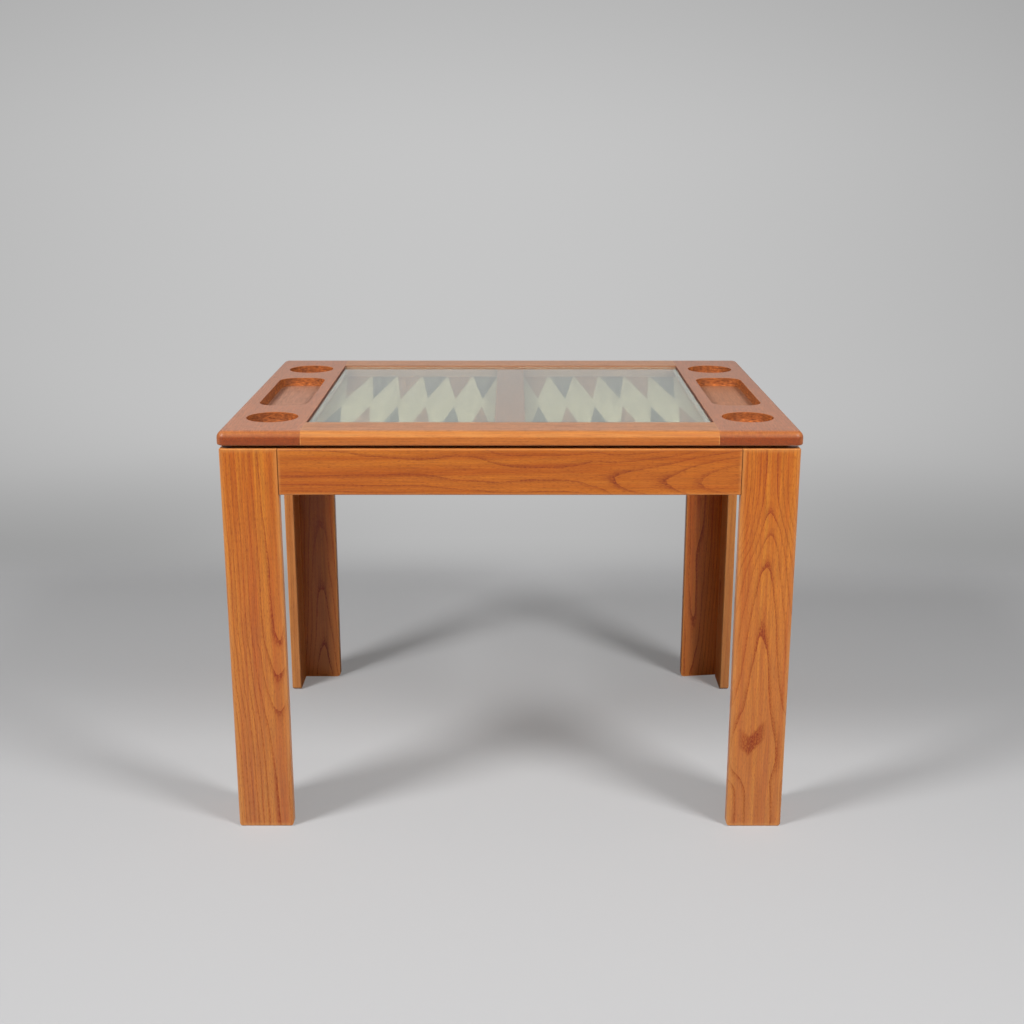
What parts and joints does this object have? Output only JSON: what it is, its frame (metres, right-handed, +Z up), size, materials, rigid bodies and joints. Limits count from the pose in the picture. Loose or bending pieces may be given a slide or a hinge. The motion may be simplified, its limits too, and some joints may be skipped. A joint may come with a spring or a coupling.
{
  "type": "tric trac table",
  "caption": "Wooden game table with L-shaped legs, a framed top with cup and tray hollows, and a sunk tric trac board under a lift-out glass pane.",
  "frame": {"origin": "on the floor under the middle of the table", "axes": "+X along the table's length to the right, +Y to the back, +Z up"},
  "size_m": [1, 0.75, 0.74],
  "materials": {
    "frame_teak": "satin lacquered teak, light",
    "panel_teak": "satin lacquered teak, dark",
    "leg_teak": "satin lacquered teak",
    "inner_wood": "bare softwood and plywood",
    "bar_wood": "satin lacquered wood",
    "cream_field": "matt pale veneer",
    "brown_point": "matt brown stained veneer",
    "grey_point": "matt grey stained veneer",
    "glass": "clear float glass with ground edges"
  },
  "bodies": {
    "base": {"front_left_leg_face_board": "leg_teak", "front_left_leg_side_board": "leg_teak", "front_left_corner_block": "inner_wood", "front_left_locating_dowel": "inner_wood", "front_right_leg_face_board": "leg_teak", "front_right_leg_side_board": "leg_teak", "front_right_corner_block": "inner_wood", "front_right_locating_dowel": "inner_wood", "front_apron": "leg_teak", "front_cleat": "inner_wood", "back_left_leg_face_board": "leg_teak", "back_left_leg_side_board": "leg_teak", "back_left_corner_block": "inner_wood", "back_left_locating_dowel": "inner_wood", "back_right_leg_face_board": "leg_teak", "back_right_leg_side_board": "leg_teak", "back_right_corner_block": "inner_wood", "back_right_locating_dowel": "inner_wood", "back_apron": "leg_teak", "back_cleat": "inner_wood", "left_apron": "leg_teak", "left_cleat": "inner_wood", "right_apron": "leg_teak", "right_cleat": "inner_wood"},
    "top": {"left_end_panel": "panel_teak", "left_field": "cream_field", "right_end_panel": "panel_teak", "right_field": "cream_field", "front_rail": "frame_teak", "back_rail": "frame_teak", "board_panel": "inner_wood", "centre_bar": "bar_wood", "left_front_point_1": "grey_point", "left_front_point_2": "brown_point", "left_front_point_3": "grey_point", "left_front_point_4": "brown_point", "left_front_point_5": "grey_point", "left_front_point_6": "brown_point", "left_back_point_1": "brown_point", "left_back_point_2": "grey_point", "left_back_point_3": "brown_point", "left_back_point_4": "grey_point", "left_back_point_5": "brown_point", "left_back_point_6": "grey_point", "right_front_point_1": "grey_point", "right_front_point_2": "brown_point", "right_front_point_3": "grey_point", "right_front_point_4": "brown_point", "right_front_point_5": "grey_point", "right_front_point_6": "brown_point", "right_back_point_1": "brown_point", "right_back_point_2": "grey_point", "right_back_point_3": "brown_point", "right_back_point_4": "grey_point", "right_back_point_5": "brown_point", "right_back_point_6": "grey_point"},
    "glass": {"glass_pane": "glass"}
  },
  "joints": [
    {"name": "top_lift", "type": "slide", "parent": "base", "child": "top", "axis": [0, 0, 1], "range_m": [0, 0.1]},
    {"name": "glass_lift", "type": "slide", "parent": "top", "child": "glass", "axis": [0, 0, 1], "range_m": [0, 0.1]}
  ]
}
